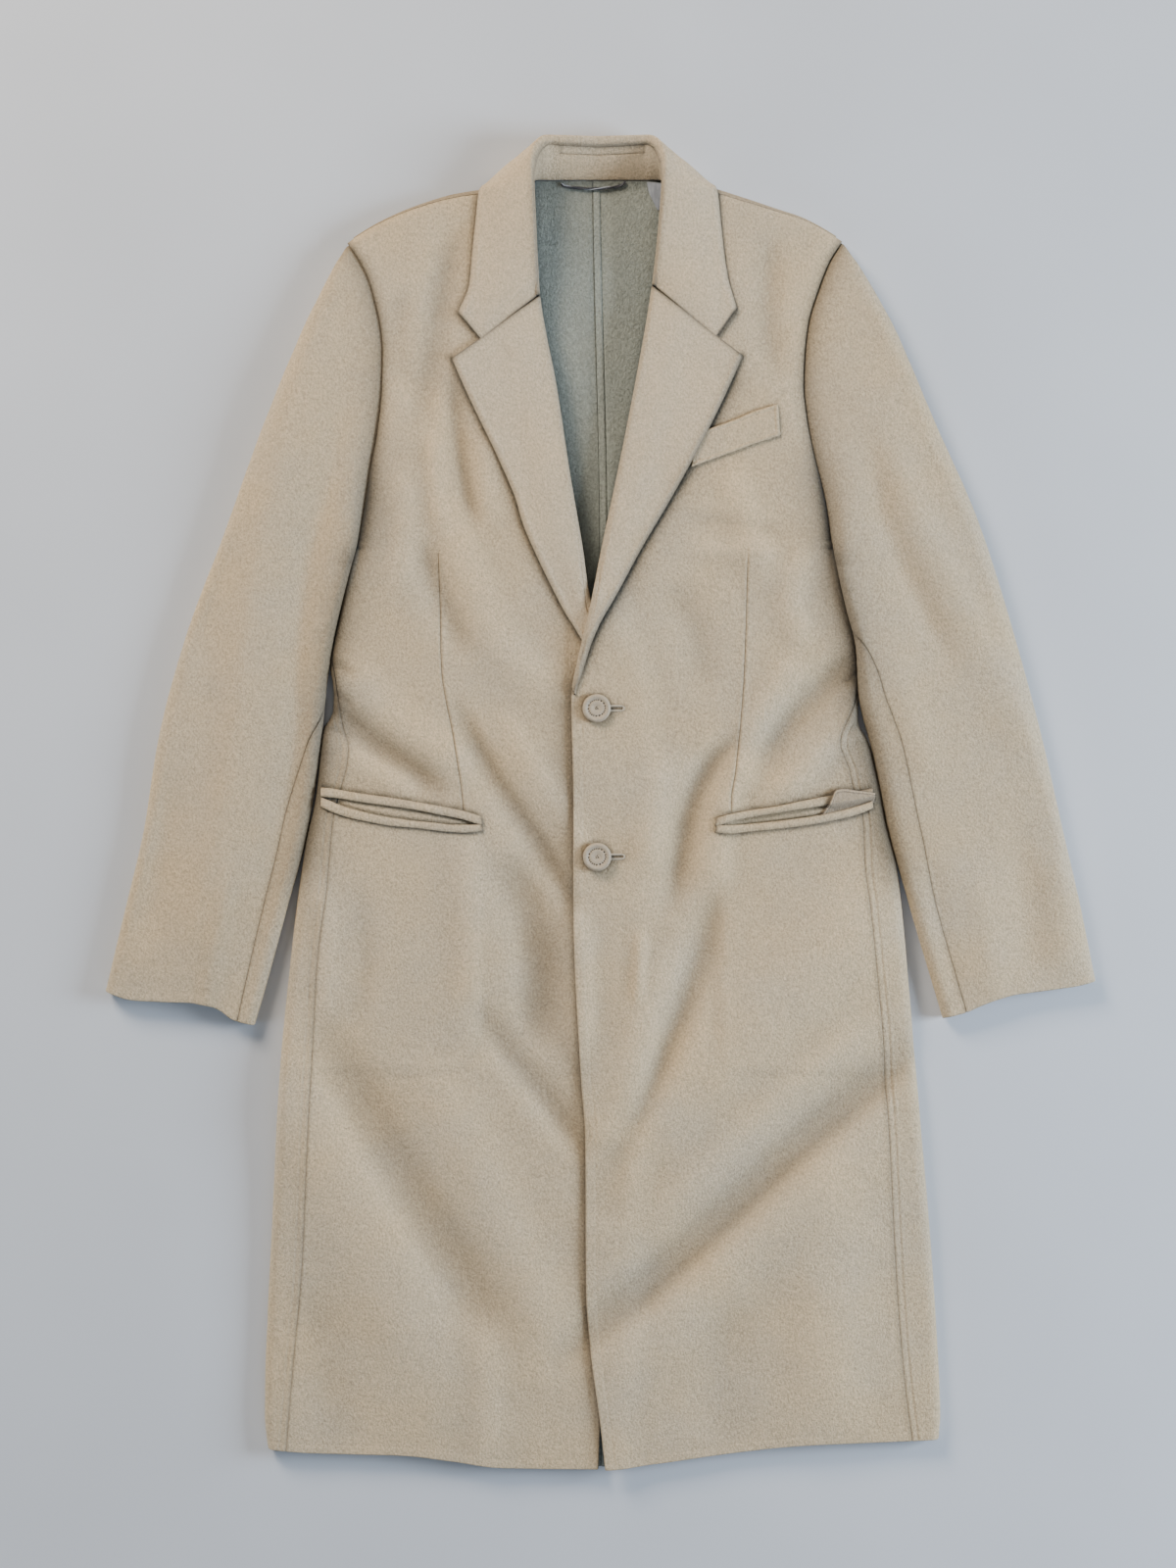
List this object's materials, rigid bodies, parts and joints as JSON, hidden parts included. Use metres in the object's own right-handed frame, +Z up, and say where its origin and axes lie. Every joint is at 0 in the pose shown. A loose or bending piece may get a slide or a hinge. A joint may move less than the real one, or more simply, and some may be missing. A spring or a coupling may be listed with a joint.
{
  "type": "overcoat",
  "caption": "Single-breasted wool overcoat with notched lapels, laid flat on its back, buttoned, with jetted hip pockets and a breast welt.",
  "frame": {"origin": "centre of the laid-out coat's bounding rectangle, on the surface it lies on", "axes": "+X towards the viewer's right of the laid-out coat (the wearer's left), +Y from the hem to the collar, +Z up out of the front"},
  "size_m": [0.8695, 1.168, 0.0376],
  "materials": {
    "camel_wool": "short brushed nap",
    "sage_wool": "plain wool face",
    "button_cloth": "stitched cloth",
    "pocketing": "plain cloth",
    "flap_cloth": "plain cloth",
    "label_satin": "satin",
    "loop_cord": "twisted cord"
  },
  "bodies": {
    "root": {"front_left": "camel_wool", "front_right": "camel_wool", "side_left": "camel_wool", "side_right": "camel_wool", "sleeve_top_left": "camel_wool", "sleeve_top_right": "camel_wool", "sleeve_under_left": "camel_wool", "sleeve_under_right": "camel_wool", "lapel_left": "camel_wool", "lapel_right": "camel_wool", "collar": "camel_wool", "collar_stand": "camel_wool", "breast_welt": "camel_wool", "jet_upper_left": "camel_wool", "jet_lower_left": "camel_wool", "jet_upper_right": "camel_wool", "jet_lower_right": "camel_wool", "back_left": "sage_wool", "back_right": "sage_wool", "button_upper": "button_cloth", "button_lower": "button_cloth", "pocket_cloth_left": "pocketing", "pocket_cloth_right": "pocketing", "flap_right": "flap_cloth", "label": "label_satin", "hanger_loop": "loop_cord"}
  },
  "joints": []
}
